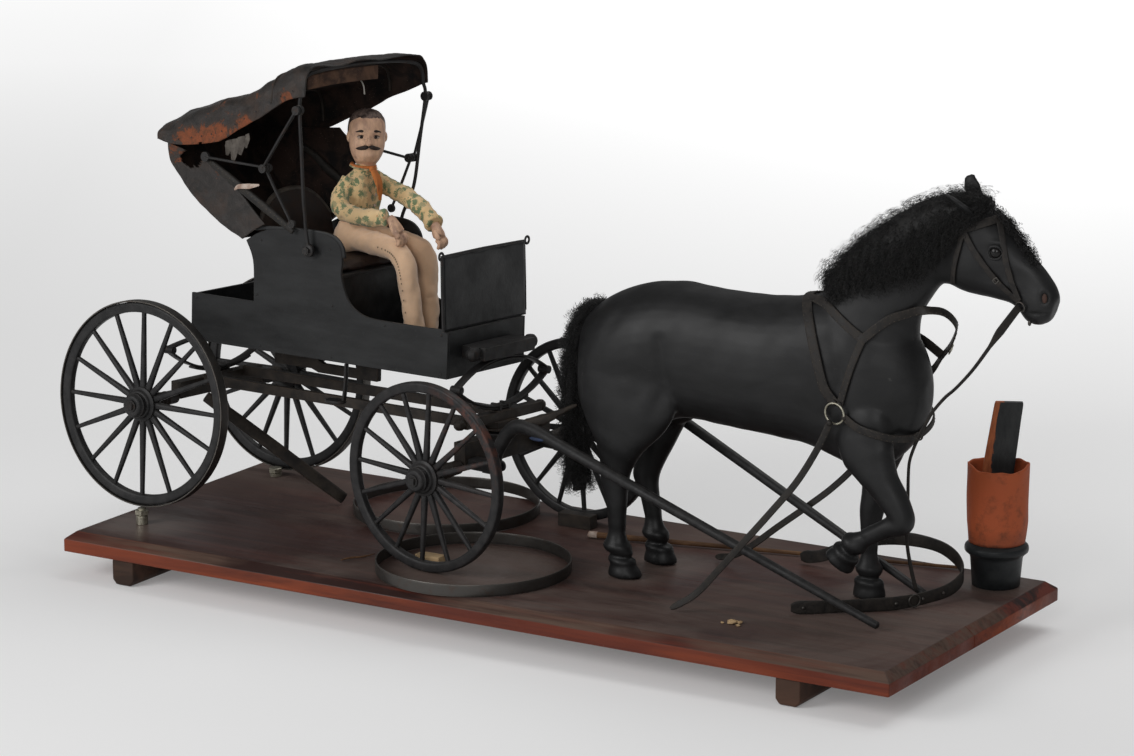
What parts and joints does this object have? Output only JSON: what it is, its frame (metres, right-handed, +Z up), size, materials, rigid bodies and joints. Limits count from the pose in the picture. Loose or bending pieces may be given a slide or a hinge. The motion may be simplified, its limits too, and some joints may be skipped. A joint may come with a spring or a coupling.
{
  "type": "carved horse and wagon",
  "caption": "Carved toy horse harnessed before a hooded four-wheeled wagon with a seated driver, on a two-board base with a cup and paddle post.",
  "frame": {"origin": "centre of the bounding box at the floor under the base's battens", "axes": "+X along the base towards the horse's head, -Y towards the side that carries the near loose hoop, +Z up"},
  "size_m": [0.9852, 0.3357, 0.4837],
  "materials": {
    "base_wood": "worn red-brown varnish",
    "batten_wood": "worn varnish",
    "pin_metal": "tarnished",
    "raw_wood": "bare",
    "wheel_paint": "worn black paint",
    "gear_wood": "dark, unpainted",
    "body_paint": "black paint",
    "iron": "dark",
    "steel": "dark, worn edges",
    "top_cloth": "painted oilcloth, torn",
    "prop_leather": "dark",
    "seat_leather": "dark brown",
    "painted_skin": "carved and painted",
    "calico": "printed leaves on tan",
    "tan_felt": "matte felt",
    "orange_scarf": "matte",
    "horse_paint": "black paint, soft gloss",
    "black_hair": "curled hair",
    "strap_leather": "dry dark leather",
    "cup_paint": "black paint",
    "sleeve_leather": "orange-red",
    "paddle_paint": "black paint",
    "whip_wood": "brown"
  },
  "bodies": {
    "toy": {"axle_rear": "iron", "back_curtain": "top_cloth", "batten_front": "batten_wood", "batten_rear": "batten_wood", "block_front_far": "gear_wood", "block_front_near": "raw_wood", "board_far": "base_wood", "board_near": "base_wood", "body_box": "body_paint", "breeching_strap": "strap_leather", "bridle": "strap_leather", "cross_bar_upper": "iron", "dash": "body_paint", "driver_hand_far": "painted_skin", "driver_hand_near": "painted_skin", "driver_head": "painted_skin", "driver_neckerchief": "orange_scarf", "driver_shirt": "calico", "driver_trousers": "tan_felt", "front_bow": "iron", "harness": "strap_leather", "horse_body": "horse_paint", "loose_brace": "gear_wood", "loose_tyre_far": "steel", "loose_tyre_near": "steel", "mane": "black_hair", "peg_rear_far": "pin_metal", "peg_rear_near": "pin_metal", "post_cup": "cup_paint", "post_sleeve": "sleeve_leather", "prop_far": "prop_leather", "prop_near": "prop_leather", "rein": "strap_leather", "roof_cloth": "top_cloth", "seat_back": "seat_leather", "seat_cushion": "seat_leather", "shaft_far": "wheel_paint", "side_far": "body_paint", "side_irons_far": "iron", "side_irons_near": "iron", "side_near": "body_paint", "spring_front": "steel", "spring_rear": "steel", "step": "iron", "tail": "black_hair", "trace_far": "strap_leather", "trace_near": "strap_leather", "under_board": "gear_wood", "undercarriage": "gear_wood", "whip": "whip_wood"},
    "wheel_rear_near_body": {"wheel_rear_near": "wheel_paint", "tyre_rear_near": "steel"},
    "wheel_rear_far_body": {"wheel_rear_far": "wheel_paint", "tyre_rear_far": "steel"},
    "front_gear": {"axle_front": "iron"},
    "wheel_front_near_body": {"wheel_front_near": "wheel_paint"},
    "wheel_front_far_body": {"wheel_front_far": "wheel_paint"},
    "near_shaft": {"shaft_near": "wheel_paint"},
    "paddle_body": {"paddle": "paddle_paint"}
  },
  "joints": [
    {"name": "rear_near_wheel_spin", "type": "hinge", "parent": "toy", "child": "wheel_rear_near_body", "pos_m": [-0.39487, -0.09737, 0.15754], "axis": [0.0486, 0.9974, -0.0523], "continuous": true},
    {"name": "rear_far_wheel_spin", "type": "hinge", "parent": "toy", "child": "wheel_rear_far_body", "pos_m": [-0.38418, 0.12207, 0.14602], "axis": [0.0486, 0.9974, -0.0523], "continuous": true},
    {"name": "front_gear_turn", "type": "hinge", "parent": "toy", "child": "front_gear", "pos_m": [-0.06202, 0.00039, 0.15157], "axis": [0, 0, 1], "range_deg": [-4, 1]},
    {"name": "front_near_wheel_spin", "type": "hinge", "parent": "front_gear", "child": "wheel_front_near_body", "pos_m": [-0.07397, -0.10459, 0.1314], "axis": [0.1132, 0.9936, 0], "continuous": true},
    {"name": "front_far_wheel_spin", "type": "hinge", "parent": "front_gear", "child": "wheel_front_far_body", "pos_m": [-0.04838, 0.11996, 0.1314], "axis": [0.1132, 0.9936, 0], "continuous": true},
    {"name": "near_shaft_lift", "type": "hinge", "parent": "front_gear", "child": "near_shaft", "pos_m": [-0.03315, -0.05026, 0.1341], "axis": [-0.1132, -0.9936, 0], "range_deg": [0, 10]},
    {"name": "paddle_lift", "type": "slide", "parent": "toy", "child": "paddle_body", "axis": [0, 0, 1], "range_m": [0, 0.06]}
  ]
}
